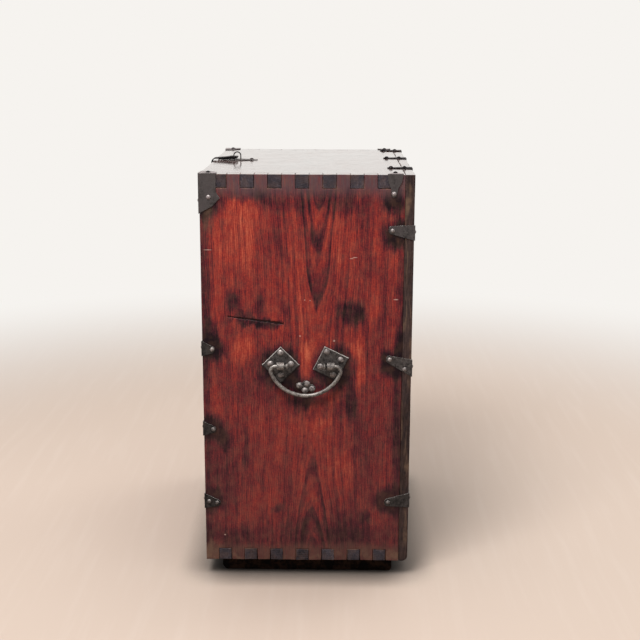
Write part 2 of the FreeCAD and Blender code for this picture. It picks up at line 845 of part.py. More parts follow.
bodies = []
top_strap_places = (159, -49.5, -237)
for number, x in enumerate(top_strap_places):
    body = new_body(f"top_rear_strap_{number}")
    iron_leg(body, "top", strap_outline(y_back, -1, x, 50, 30, 13, 0, False, thick))
    iron_leg(body, "back", strap_outline(z_top, -1, x, 58, 30, 13, 0, False))
    bodies.append(body)
strap_group("top_rear_straps", bodies)


# Dome-headed nails and larger studs, each copied from a pattern to its places.


def dome_nail(label, head, crown, curve):
    """A round shank under a domed head, turned about its own Z axis."""
    body = new_body(label)
    half_section = [
        (0, -d.nail_length),
        (d.nail_shank, 4 - d.nail_length),
        (d.nail_shank, 0),
        (head, 0, curve),
        (0.8, crown),
        (0, crown),
    ]
    section = new_sketch(body, "XZ_Plane", 0, [half_section])
    turned = body.newObject("PartDesign::Revolution", "turned")
    turned.Profile = section
    turned.ReferenceAxis = (section, ["V_Axis"])
    turned.Angle = 360
    body.Tip = turned
    doc.recompute()
    return body


pattern_nail = dome_nail("pattern_nail", d.nail_head, d.nail_crown, 5.4)
pattern_stud = dome_nail("pattern_stud", d.stud_head, d.stud_crown, 7.6)


def nail_group(label, places, pattern=pattern_nail):
    """Copies of a pattern nail, each given by its face and where its head sits."""
    nails = []
    for face, x, y, z in places:
        nail = pattern.Shape.copy()
        nail.Placement = FreeCAD.Placement(Vector(x, y, z), facing[face])
        nails.append(nail)
    group = doc.addObject("Part::Feature", label)
    group.Shape = Part.makeCompound(nails)
    keep(group, label)


end_face = half_width.value
front_face = y_front.value
rear_face = y_back.value
top_face = z_top.value
sheet_iron = d.iron_thick.value
plate_iron = d.plate_thick.value
foot = d.foot_height.value

handle_studs = (
    (-50.3, 427.4),
    (-69.5, 405.4),
    (-30.5, 405.2),
    (-49.5, 383.8),
    (38.3, 430.2),
    (64.5, 414.2),
    (25.7, 400.2),
    (50, 384.5),
    (-14.2, 362),
    (0, 366),
    (10.4, 356.5),
    (-3.5, 353),
)
strap_nails = (
    (-180.5, 433),
    (-181, 273),
    (-192, 124),
    (-176, 121.5),
    (-182.3, 724.2),
    (159.5, 663),
    (158.5, 415),
    (187.5, 396.5),
    (159.5, 124.8),
    (161, 731.5),
)
for name, side in (("right", 1), ("left", -1)):
    places = [(name, (end_face + plate_iron) * side, y, z + foot) for y, z in handle_studs]
    nail_group(f"{name}_handle_studs", places, pattern_stud)
    places = [(name, (end_face + sheet_iron) * side, y, z + foot) for y, z in strap_nails]
    nail_group(f"{name}_end_nails", places)

front_level = front_face - sheet_iron
panel_places = []
door_places = []
for side in (1, -1):
    for height, width, skew, length in front_straps:
        for inset in (14, 48):
            panel_places.append(("front", (end_face - inset) * side, front_level, height))
    panel_places.append(("front", (end_face - 11) * side, front_level, top_face - 50))
    centre = d.hinge_offset.value * side
    for reach, spread in ((24, 11), (66, 15)):
        for sign in (1, -1):
            panel_places.append(("front", centre + spread * sign, front_level, hinge_z.value - reach))
            door_places.append(("front", centre + spread * sign, front_level, hinge_z.value + reach))
nail_group("front_nails", panel_places)

ring_of_nails = d.lock_plate_radius.value - 7
for number in range(6):
    angle = math.radians(60 * number)
    x = ring_of_nails * math.cos(angle)
    z = d.lock_height.value + ring_of_nails * math.sin(angle)
    door_places.append(("front", x, front_level, z))
nail_group("door_nails", door_places)

top_level = top_face + sheet_iron
places = []
for side in (1, -1):
    places.append(("top", (end_face - 16) * side, front_face + 16, top_level))
    places.append(("top", (end_face - 17) * side, front_face + 363.5, top_level))
for x in top_strap_places:
    places.append(("top", x, rear_face - 40, top_level))
    places.append(("top", x, rear_face - 14, top_level))
places.append(("top", 0, ring_y.value + 30, top_face + d.leaf_thick.value))
nail_group("top_nails", places)

rear_level = rear_face + sheet_iron
places = []
for side in (1, -1):
    for height, width, skew, length in rear_straps:
        for inset in (15, 46):
            places.append(("back", (end_face - inset) * side, rear_level, height))
for x in top_strap_places:
    for drop in (16, 48):
        places.append(("back", x, rear_level, top_face - drop))
nail_group("back_nails", places)


# Every piece is checked, then written to its own file.

doc.recompute()
for item in doc.Objects:
    for word in ("Invalid", "Error"):
        if word in item.State:
            raise RuntimeError(f"{item.Label} is {word}")
os.makedirs("parts", exist_ok=True)
for item in parts:
    if item.Shape.isNull() or not item.Shape.isValid():
        raise RuntimeError(f"{item.Label} has no sound shape")
    item.Shape.exportStep(f"parts/{item.Label}.step")
print(len(parts), "pieces written")
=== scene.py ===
import json
import math
import bmesh
import bpy
from mathutils import Matrix, Vector, noise

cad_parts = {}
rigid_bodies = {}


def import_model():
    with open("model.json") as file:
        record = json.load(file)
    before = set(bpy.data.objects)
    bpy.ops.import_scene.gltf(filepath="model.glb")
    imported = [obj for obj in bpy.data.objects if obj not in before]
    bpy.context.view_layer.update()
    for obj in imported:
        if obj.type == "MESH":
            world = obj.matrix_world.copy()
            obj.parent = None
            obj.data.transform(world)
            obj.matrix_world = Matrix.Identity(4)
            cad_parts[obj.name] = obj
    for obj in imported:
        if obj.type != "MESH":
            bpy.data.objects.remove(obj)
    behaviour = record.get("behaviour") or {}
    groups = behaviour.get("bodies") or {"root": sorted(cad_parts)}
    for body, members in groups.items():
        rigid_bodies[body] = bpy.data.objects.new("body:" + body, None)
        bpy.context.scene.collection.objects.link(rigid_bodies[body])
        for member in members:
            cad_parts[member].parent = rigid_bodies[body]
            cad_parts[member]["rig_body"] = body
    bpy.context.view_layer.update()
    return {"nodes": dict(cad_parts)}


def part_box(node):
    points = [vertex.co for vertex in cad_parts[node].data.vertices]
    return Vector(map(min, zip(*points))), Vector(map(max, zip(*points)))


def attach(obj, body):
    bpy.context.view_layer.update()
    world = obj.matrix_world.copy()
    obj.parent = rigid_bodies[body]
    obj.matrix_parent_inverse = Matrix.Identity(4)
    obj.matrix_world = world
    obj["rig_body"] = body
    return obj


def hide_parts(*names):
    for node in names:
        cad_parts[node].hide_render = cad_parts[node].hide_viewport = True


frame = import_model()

nodes = frame["nodes"]
scene = bpy.context.scene
scene.view_settings.view_transform = "Standard"
print("frame loaded,", len(nodes), "pieces")


def srgb(red, green, blue):
    # screen colour 0-255 to the linear values that shaders take
    def linear(c):
        c /= 255
        return c / 12.92 if c <= 0.04045 else ((c + 0.055) / 1.055) ** 2.4
    return (linear(red), linear(green), linear(blue), 1.0)


# short calls for the nodes used below; an input may be a number, a tuple or another node's output
def wire(tree, socket, value):
    if isinstance(value, bpy.types.NodeSocket):
        tree.links.new(value, socket)
    elif value is not None:
        socket.default_value = value


def addNode(tree, kind, settings=None, **inputs):
    made = tree.nodes.new(kind)
    for name, value in (settings or {}).items():
        setattr(made, name, value)
    for name, value in inputs.items():
        wire(tree, made.inputs[name], value)
    return made


def calc(tree, operation, a, b=None, c=None, clamp=False):
    made = addNode(tree, "ShaderNodeMath", {"operation": operation, "use_clamp": clamp})
    for socket, value in zip(made.inputs, (a, b, c)):
        wire(tree, socket, value)
    return made.outputs[0]


def total(tree, first, *others):
    for other in others:
        first = calc(tree, "ADD", first, other)
    return first


def fade(tree, value, low, high, start=0.0, end=1.0):
    made = addNode(tree, "ShaderNodeMapRange", {"interpolation_type": "SMOOTHSTEP"})
    for socket, given in zip(made.inputs, (value, low, high, start, end)):
        wire(tree, socket, given)
    return made.outputs[0]


def scaled(tree, vector, factors, shift=(0, 0, 0)):
    made = addNode(tree, "ShaderNodeVectorMath", {"operation": "MULTIPLY_ADD"})
    for socket, given in zip(made.inputs, (vector, factors, shift)):
        wire(tree, socket, given)
    return made.outputs[0]


def distance(tree, vector):
    made = addNode(tree, "ShaderNodeVectorMath", {"operation": "LENGTH"})
    wire(tree, made.inputs[0], vector)
    return made.outputs["Value"]


def cloud(tree, vector, scale=1.0, detail=2.0, rough=0.5, twist=0.0):
    return addNode(tree, "ShaderNodeTexNoise", Vector=vector, Scale=scale, Detail=detail,
                   Roughness=rough, Distortion=twist).outputs["Fac"]


def swing(tree, value, amount):
    # a cloud's 0-1 turned into plus or minus half the amount
    return calc(tree, "MULTIPLY_ADD", value, amount, -0.5 * amount)


def tint(tree, amount, first, second, way="MIX"):
    made = addNode(tree, "ShaderNodeMix", {"data_type": "RGBA", "blend_type": way})
    wire(tree, made.inputs[0], amount)
    wire(tree, made.inputs[6], first)
    wire(tree, made.inputs[7], second)
    return made.outputs[2]


def shades(tree, value, stops):
    made = addNode(tree, "ShaderNodeValToRGB", Fac=value)
    ramp = made.color_ramp.elements
    while len(ramp) < len(stops):
        ramp.new(0.5)
    for element, (position, colour) in zip(ramp, stops):
        element.position = position
        element.color = srgb(*colour)
    return made.outputs["Color"]


def newFinish(name, **fixed):
    made = bpy.data.materials.new(name)
    made.use_nodes = True
    tree = made.node_tree
    shader = tree.nodes["Principled BSDF"]
    for socket, value in fixed.items():
        shader.inputs[socket.replace("_", " ")].default_value = value
    return made, tree, shader


def finishShader(tree, shader, colour, rough, height, bumpStrength, bumpDepth, metal=None):
    bump = addNode(tree, "ShaderNodeBump", Strength=bumpStrength, Distance=bumpDepth, Height=height)
    wire(tree, shader.inputs["Base Color"], colour)
    wire(tree, shader.inputs["Roughness"], rough)
    wire(tree, shader.inputs["Normal"], bump.outputs["Normal"])
    if metal is not None:
        wire(tree, shader.inputs["Metallic"], metal)


# camera, solved from the edges of the end and of the top
cameraLook = {
    "place": (2.4019, 0.0555, 1.0186),
    "pitch": 13.18,
    "yaw": -0.826,
    "roll": 0.179,
    "focalPixels": 1150,
    "imageWidth": 640,
    "sensor": 36,
}


def makeCamera():
    pitch, yaw, roll = (math.radians(cameraLook[k]) for k in ("pitch", "yaw", "roll"))
    ahead = Vector((-math.cos(pitch) * math.cos(yaw), math.cos(pitch) * math.sin(yaw), -math.sin(pitch)))
    right = ahead.cross(Vector((0, 0, 1))).normalized()
    up = right.cross(ahead)
    right, up = (math.cos(roll) * right + math.sin(roll) * up, math.cos(roll) * up - math.sin(roll) * right)
    data = bpy.data.cameras.new("camera")
    data.sensor_width = cameraLook["sensor"]
    data.lens = cameraLook["sensor"] * cameraLook["focalPixels"] / cameraLook["imageWidth"]
    camera = bpy.data.objects.new("camera", data)
    turn = Matrix((right, up, -ahead)).transposed().to_4x4()
    camera.matrix_world = Matrix.Translation(cameraLook["place"]) @ turn
    scene.collection.objects.link(camera)
    scene.camera = camera


makeCamera()

# soft studio light from above: bright overhead and behind the chest, dimmer in front, and three soft boxes
lightLook = {
    "backdrop": (246, 243, 239),
    "floor": (190, 173, 160),
    "roomLow": 0.05,
    "roomHigh": 0.85,
    "warmth": (1.0, 0.98, 0.96, 1.0),
    "contact": (0.075, 2.0),  # how far the shadow on the floor reaches, and its power
    "wide": (0.4, 0.16),
    "shadow": (0.01, 0.008, 0.007, 1),
    "floorNear": 0.9,
    "floorFar": 2.6,
    "boxes": {  # place, aim, width, watts
        "key": ((1.7, -0.8, 3.1), (0.3, 0.0, 0.4), 1.3, 104),
        "overhead": ((0.4, 0.1, 2.9), (0.1, 0.0, 0.6), 1.7, 16),
        "fill": ((-1.6, 2.4, 2.4), (0.0, 0.0, 0.4), 1.7, 26),
    },
}


def seenRays(tree):
    # 1 for rays from the camera and for those mirrored or let through to it
    path = addNode(tree, "ShaderNodeLightPath").outputs
    return total(tree, path["Is Camera Ray"], path["Is Glossy Ray"], path["Is Transmission Ray"])


def makeLights():
    world = bpy.data.worlds.new("room")
    scene.world = world
    world.use_nodes = True
    tree = world.node_tree
    tree.nodes.clear()
    parts = addNode(tree, "ShaderNodeSeparateXYZ",
                    Vector=addNode(tree, "ShaderNodeTexCoord").outputs["Generated"]).outputs
    ceiling = fade(tree, parts["Z"], 0.4, 0.92, lightLook["roomLow"], lightLook["roomHigh"])
    behind = fade(tree, parts["X"], -0.15, -0.65)
    strength = calc(tree, "MULTIPLY_ADD", calc(tree, "SUBTRACT", 1.0, ceiling), behind, ceiling)
    room = addNode(tree, "ShaderNodeBackground", Color=lightLook["warmth"], Strength=strength)
    plain = addNode(tree, "ShaderNodeBackground", Color=srgb(*lightLook["backdrop"]))
    pick = addNode(tree, "ShaderNodeMixShader", Fac=seenRays(tree))
    wire(tree, pick.inputs[1], room.outputs[0])
    wire(tree, pick.inputs[2], plain.outputs[0])
    addNode(tree, "ShaderNodeOutputWorld", Surface=pick.outputs[0])
    for name, (place, aim, width, watts) in lightLook["boxes"].items():
        data = bpy.data.lights.new(name, "AREA")
        data.size, data.energy = width, watts
        data.color = lightLook["warmth"][:3]
        lamp = bpy.data.objects.new(name, data)
        lamp.location = place
        lamp.rotation_euler = (Vector(aim) - Vector(place)).to_track_quat("-Z", "Y").to_euler()
        scene.collection.objects.link(lamp)


def makeFloor():
    shape = bmesh.new()
    bmesh.ops.create_circle(shape, cap_ends=True, segments=96, radius=40)
    data = bpy.data.meshes.new("floor")
    shape.to_mesh(data)
    shape.free()
    floor = bpy.data.objects.new("floor", data)
    floor.location.z = -0.0004
    scene.collection.objects.link(floor)
    paint, tree, shader = newFinish("floorPaint", Roughness=0.75)
    place = addNode(tree, "ShaderNodeTexCoord").outputs["Object"]
    mottle = cloud(tree, scaled(tree, place, (3, 40, 1)), 1, 3)
    pale = tint(tree, swing(tree, mottle, 0.16), srgb(*lightLook["floor"]), srgb(*lightLook["backdrop"]))

    def openness(reach, power):
        sky = addNode(tree, "ShaderNodeAmbientOcclusion", {"samples": 12}, Distance=reach).outputs["AO"]
        return calc(tree, "POWER", sky, power)

    # deepens the shadow where the object stands
    clear = calc(tree, "MULTIPLY", openness(*lightLook["contact"]), openness(*lightLook["wide"]))
    wire(tree, shader.inputs["Base Color"], tint(tree, clear, lightLook["shadow"], pale))
    far = fade(tree, distance(tree, place), lightLook["floorNear"], lightLook["floorFar"])
    glow = addNode(tree, "ShaderNodeEmission", Color=srgb(*lightLook["backdrop"]))
    pick = addNode(tree, "ShaderNodeMixShader", Fac=calc(tree, "MULTIPLY", far, seenRays(tree), clamp=True))
    wire(tree, pick.inputs[1], shader.outputs[0])
    wire(tree, pick.inputs[2], glow.outputs[0])
    wire(tree, tree.nodes["Material Output"].inputs["Surface"], pick.outputs[0])
    data.materials.append(paint)


makeLights()
makeFloor()
print("camera, light and floor set")

# marks on the ends, in mm: place front to back and above the floor, half sizes; then how much lighter
ironHalos = [
    (-47, 425, 47, 46, -0.7), (51, 426, 49, 46, -0.72), (-2, 386, 28, 22, -0.5), (-6, 364, 34, 20, -0.35),
    (-186, 466, 30, 27, -0.6), (-188, 306, 30, 27, -0.6), (-190, 156, 32, 25, -0.65),
    (172, 690, 36, 26, -0.6), (172, 437, 36, 32, -0.6), (170, 158, 44, 34, -0.75),
    (163, 748, 24, 34, -0.65), (-184, 744, 28, 36, -0.55),
]
rightMarks = ironHalos + [
    (0, 190, 300, 250, -0.025), (-115, 762, 44, 16, -0.35), (-83, 757, 25, 24, -0.2),
    (9, 750, 110, 34, -0.17), (104, 738, 66, 44, -0.08), (-193, 617, 16, 136, -0.08),
    (11, 679, 9, 20, -0.25), (-142, 559, 11, 22, -0.35), (-85, 550, 10, 26, -0.2),
    (-41, 541, 11, 22, -0.2), (-100, 519, 60, 9, -0.26), (-74, 513, 32, 9, -0.3),
    (-122, 536, 24, 14, -0.24), (84, 534, 30, 26, -0.42), (-181, 500, 19, 26, -0.25),
    (85, 368, 11, 54, -0.25), (181, 474, 15, 34, -0.3), (-165, 285, 22, 24, -0.3),
    (168, 304, 15, 98, -0.2), (-166, 198, 36, 120, -0.15), (-117, 261, 8, 52, -0.2),
    (-3, 82, 230, 26, -0.15), (-143, 72, 30, 38, -0.15), (-192, 84, 20, 44, -0.2), (86, 95, 52, 34, -0.1),
    (10, 107, 36, 18, -0.1), (-59, 140, 10, 10, -0.3), (113, 121, 11, 18, -0.3),
    (164, 668, 26, 18, -0.35), (-196, 400, 15, 380, -0.2), (178, 400, 12, 380, -0.22),
    # (-60, 640, 150, 120, 0.05) below is painted light: the upper half of the end made lighter as if it faced
    # the lamps
    (30, 345, 70, 26, -0.14), (-60, 640, 150, 120, 0.05), (-140, 695, 50, 84, 0.14),
    (21, 722, 24, 30, 0.12), (43, 722, 11, 32, 0.16), (-122, 462, 20, 38, 0.26), (-2, 438, 15, 50, 0.5),
    (100, 440, 17, 60, 0.36), (125, 561, 20, 62, 0.15), (69, 200, 30, 72, 0.15), (25, 333, 30, 30, 0.12),
    (158, 728, 16, 12, 0.2),
]
rightFlecks = [
    (-13, 490, 1.6, 1.6), (52, 481, 2.0, 2.0), (90, 642, 5, 0.9), (84, 640, 4, 0.8), (168, 562, 5, 1.2),
    (-186, 655, 9, 0.7), (-4, 560, 1.2, 1.2), (6, 559, 1.2, 1.2), (-162, 83, 2, 1.5),
]
leftMarks = ironHalos + [
    (-60, 762, 60, 18, -0.3), (80, 755, 60, 26, -0.25), (-40, 560, 16, 40, -0.25),
    (70, 250, 14, 60, -0.2), (-3, 74, 230, 32, -0.25), (120, 620, 24, 70, 0.2), (-110, 560, 22, 60, 0.22),
    (-90, 220, 30, 60, 0.16), (20, 300, 30, 40, 0.14), (-2, 443, 12, 46, 0.35), (40, 690, 26, 40, 0.15),
    (-150, 330, 20, 40, -0.15),
]
# marks on the front: place from left to right, then as above
frontHalos = [
    (150, 524, 40, 52, -0.5), (-150, 524, 40, 52, -0.5), (150, 446, 40, 52, -0.5),
    (-150, 446, 40, 52, -0.5), (0, 708, 66, 62, -0.5), (150, 700, 26, 26, -0.4), (100, 700, 26, 26, -0.4),
    (-150, 700, 26, 26, -0.4), (-100, 700, 26, 26, -0.4), (125, 668, 38, 16, -0.3),
    (-125, 668, 38, 16, -0.3),
]
frontMarks = frontHalos + [
    (-240, 460, 40, 60, -0.3), (240, 460, 40, 60, -0.3), (0, 62, 300, 20, -0.3), (60, 300, 90, 40, 0.16),
    (-120, 240, 70, 50, 0.14), (70, 620, 40, 30, 0.15), (-70, 600, 40, 30, 0.12),
    (0, 492, 300, 14, -0.25), (0, 770, 300, 14, -0.3),
]

redShades = [(0.0, (20, 8, 15)), (0.2, (54, 23, 32)), (0.45, (101, 37, 41)), (0.7, (149, 54, 45)),
             (1.0, (196, 98, 72))]
darkShades = [(0.0, (22, 17, 17)), (0.3, (48, 30, 29)), (0.6, (78, 42, 37)), (1.0, (118, 68, 54))]
backShades = [(0.0, (16, 12, 13)), (0.35, (44, 35, 35)), (0.65, (70, 56, 55)), (1.0, (104, 88, 80))]
sawnShades = [(0.0, (26, 24, 28)), (0.45, (63, 59, 66)), (0.75, (96, 90, 97)), (1.0, (142, 128, 124))]
# the runners are coloured near black: painted shade for their place under the chest's overhang
footShades = [(0.0, (4, 3, 3)), (0.5, (13, 8, 7)), (1.0, (36, 26, 22))]
bareShades = [(0.0, (70, 48, 34)), (0.4, (120, 88, 60)), (0.7, (152, 116, 80)), (1.0, (184, 150, 108))]
rubbedShades = [(0.0, (88, 62, 52)), (0.5, (136, 100, 80)), (1.0, (178, 140, 112))]
# dulled wood on the ends, in the lower half and along the top and bottom: from and to height, colour, amount
endGrime = [
    (0.52, 0.1, (84, 48, 51), 0.3),
    (0.746, 0.778, (86, 66, 70), 1.0),
    (0.07, 0.05, (82, 59, 54), 0.85),
]
# bruised corners, placed like the marks above
endScuffs = [
    (-188, 50, 28, 22, 0.5), (-176, 34, 70, 8, 0.4), (-50, 35, 90, 7, 0.25), (150, 42, 60, 12, 0.45),
    (60, 37, 60, 6, 0.22), (184, 40, 20, 18, 0.45), (-180, 712, 16, 28, 0.4),
]
seamScuffs = [
    (187, 744, 7, 40, 0.75), (184, 640, 2.2, 60, 0.5), (184, 520, 2, 50, 0.6), (185, 330, 2, 70, 0.5),
    (184, 210, 2, 40, 0.5), (195, 470, 2.2, 120, 0.45), (195, 250, 2.2, 60, 0.5), (194, 100, 3, 50, 0.5),
]

# one dictionary for each wood; axes give the grain's run, the way across it and the way in
woodLooks = {
    "rightEndLacquer": {
        "axes": (2, 1, 0), "shades": redShades, "tone": 0.59, "marks": rightMarks, "markAxes": (1, 2),
        "ringMid": 0.4, "ringCentre": 0.018, "face": 0.28, "pith": 0.042, "bow": 0.21, "ringStep": 0.0098,
        "ringDark": 0.42, "rough": 0.42, "coat": 0.02, "coatRough": 0.3, "specular": 0.1, "shift": (0, 0, 0),
        "flecks": rightFlecks, "grime": endGrime, "scuffs": endScuffs,
    },
    "leftEndLacquer": {
        "axes": (2, 1, 0), "shades": redShades, "tone": 0.55, "marks": leftMarks, "markAxes": (1, 2),
        "ringMid": 0.36, "ringCentre": -0.03, "face": -0.28, "pith": 0.05, "bow": 0.2, "ringStep": 0.0095,
        "ringDark": 0.3, "rough": 0.42, "coat": 0.02, "coatRough": 0.3, "specular": 0.1, "shift": (3, 5, 2),
        "grime": endGrime, "scuffs": endScuffs,
    },
    "frontLacquer": {
        "axes": (0, 2, 1), "shades": redShades, "tone": 0.55, "marks": frontMarks, "markAxes": (0, 2),
        "ringMid": 0.05, "ringCentre": 0.36, "face": -0.2, "pith": 0.05, "bow": 0.35, "ringStep": 0.0095,
        "ringDark": 0.3, "rough": 0.4, "coat": 0.03, "coatRough": 0.28, "specular": 0.12, "shift": (1, 7, 4),
    },
    "topLacquer": {
        "axes": (0, 1, 2), "shades": darkShades, "tone": 0.55, "marks": [], "markAxes": (0, 1),
        "ringMid": 0.0, "ringCentre": -0.03, "face": 0.797, "pith": 0.08, "bow": 0.4, "ringStep": 0.008,
        "ringDark": 0.3, "rough": 0.16, "coat": 1.0, "coatRough": 0.1, "specular": 0.5, "shift": (2, 2, 9),
        "coatIndex": 1.6, "bump": 0.05, "rub": 0.25,
    },
    "bottomLacquer": {
        "axes": (0, 1, 2), "shades": darkShades, "tone": 0.45, "marks": [], "markAxes": (0, 1),
        "ringMid": 0.0, "ringCentre": 0.02, "face": 0.03, "pith": 0.09, "bow": 0.3, "ringStep": 0.008,
        "ringDark": 0.3, "rough": 0.55, "coat": 0.0, "coatRough": 0.3, "specular": 0.25, "shift": (8, 1, 3),
    },
    "middleBackStain": {
        "axes": (2, 0, 1), "shades": backShades, "tone": 0.46, "marks": [], "markAxes": (0, 2),
        "ringMid": 0.4, "ringCentre": 0.04, "face": 0.2, "pith": 0.07, "bow": 0.25, "ringStep": 0.0085,
        "ringDark": 0.3, "rough": 0.6, "coat": 0.0, "coatRough": 0.3, "specular": 0.1, "shift": (5, 9, 1),
        "rub": 0.45,
    },
    "fingerEnds": {
        "axes": (0, 1, 2), "shades": sawnShades, "tone": 0.42, "marks": [], "markAxes": (0, 1),
        "ringMid": 0.0, "ringCentre": -0.03, "face": 0.797, "pith": 0.08, "bow": 0.0, "ringStep": 0.004,
        "ringDark": 0.3, "rough": 0.55, "coat": 0.0, "coatRough": 0.3, "specular": 0.1, "shift": (2, 6, 5),
    },
    "bareWood": {
        "axes": (0, 1, 2), "shades": bareShades, "tone": 0.5, "marks": [], "markAxes": (0, 1),
        "ringMid": 0.0, "ringCentre": 0.0, "face": 0.5, "pith": 0.1, "bow": 0.2, "ringStep": 0.006,
        "ringDark": 0.35, "rough": 0.65, "coat": 0.0, "coatRough": 0.3, "specular": 0.3, "shift": (4, 4, 4),
    },
    "footPaintedShade": {
        "axes": (1, 0, 2), "shades": footShades, "tone": 0.42, "marks": [], "markAxes": (0, 1),
        "ringMid": 0.0, "ringCentre": 0.0, "face": 0.0, "pith": 0.06, "bow": 0.3, "ringStep": 0.006,
        "ringDark": 0.3, "rough": 0.7, "coat": 0.0, "coatRough": 0.3, "specular": 0.05, "shift": (6, 3, 7),
    },
}
# boards cut from other parts of the log
woodLooks["lowFingerEnds"] = dict(woodLooks["fingerEnds"], tone=0.4)
woodLooks["doorLacquer"] = dict(woodLooks["frontLacquer"], ringMid=-0.09, ringCentre=0.61, shift=(9, 2, 6))
for side, centre, tone in (("left", -0.2, 0.43), ("right", 0.165, 0.49)):
    woodLooks[side + "BackStain"] = dict(woodLooks["middleBackStain"], ringCentre=centre, tone=tone,
                                         ringMid=0.4 + centre, shift=(5, 9 + 40 * centre, 1))
woodLooks["rightBackStain"].update(markAxes=(1, 2), scuffs=seamScuffs)

# texture that all the woods share: each cloud's scale along and across the grain
grainScales = {
    "sway": (2.2, 6), "ripple": (7, 26), "lean": (5, 1.5), "patches": (5, 9), "fibre": (45, 700),
    "thread": (24, 240), "streak": (4, 60), "blotch": (7, 16), "pores": (60, 1000), "ragged": (12, 55),
    "dashes": (28, 620),
}
# how much each one lightens or darkens
grainTones = {
    "streak": 0.42, "blotch": 0.66, "fibre": 0.5, "thread": 0.5, "grit": 0.46, "fine": -0.1, "pores": -0.3,
}
# colour and strength of small damage
damageLook = {
    "pit": ((24, 16, 18), 0.8), "scratch": ((186, 116, 92), 0.4), "fleck": ((206, 178, 166), 0.6),
    "scar": ((26, 15, 16), 0.9),
}
scuffShade = (112, 90, 74)


